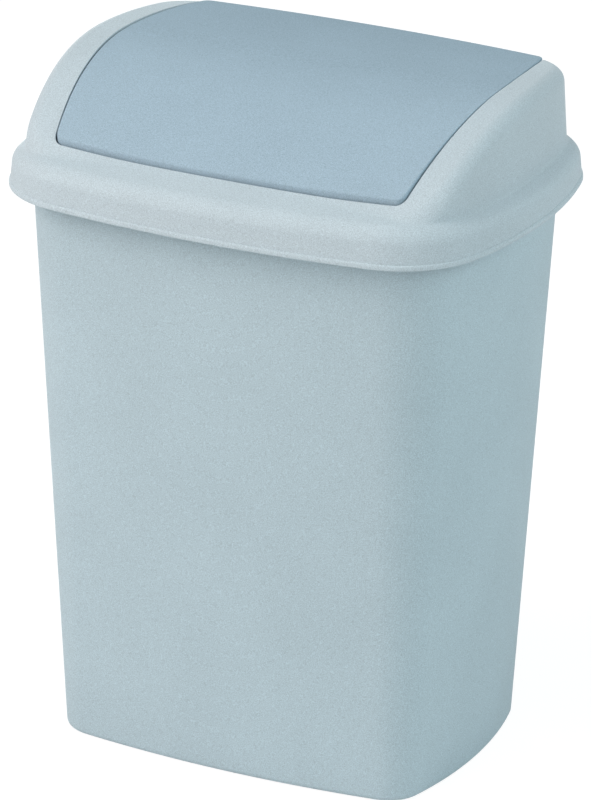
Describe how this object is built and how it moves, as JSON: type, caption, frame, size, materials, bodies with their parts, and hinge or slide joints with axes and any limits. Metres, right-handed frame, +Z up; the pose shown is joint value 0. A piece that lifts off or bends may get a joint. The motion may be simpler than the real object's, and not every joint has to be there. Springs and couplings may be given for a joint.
{
  "type": "swing-lid bin",
  "caption": "Tapered rounded-rectangle bin with a lift-off hooded lid and an arched flap that swings both ways on moulded pivots.",
  "frame": {"origin": "on the floor, under the middle of the lid's skirt", "axes": "+Z up, -Y towards the front, where the flap's low edge is, +X to the right seen from the front"},
  "size_m": [0.34, 0.263, 0.446],
  "materials": {
    "bucket_plastic": "pale blue-grey polypropylene, fine matte grain",
    "frame_plastic": "pale blue-grey polypropylene, fine matte grain",
    "flap_plastic": "slightly bluer grey polypropylene, fine matte grain"
  },
  "bodies": {
    "bucket": {"bucket": "bucket_plastic"},
    "lid": {"lid_frame": "frame_plastic"},
    "flap": {"swing_flap": "flap_plastic"}
  },
  "joints": [
    {"name": "lid_lift", "type": "slide", "parent": "bucket", "child": "lid", "axis": [0, 0, 1], "range_m": [0, 0.15]},
    {"name": "flap_swing", "type": "hinge", "parent": "lid", "child": "flap", "pos_m": [0, 0.00365, 0.4375], "axis": [1, 0, 0], "range_deg": [-75, 75]}
  ]
}
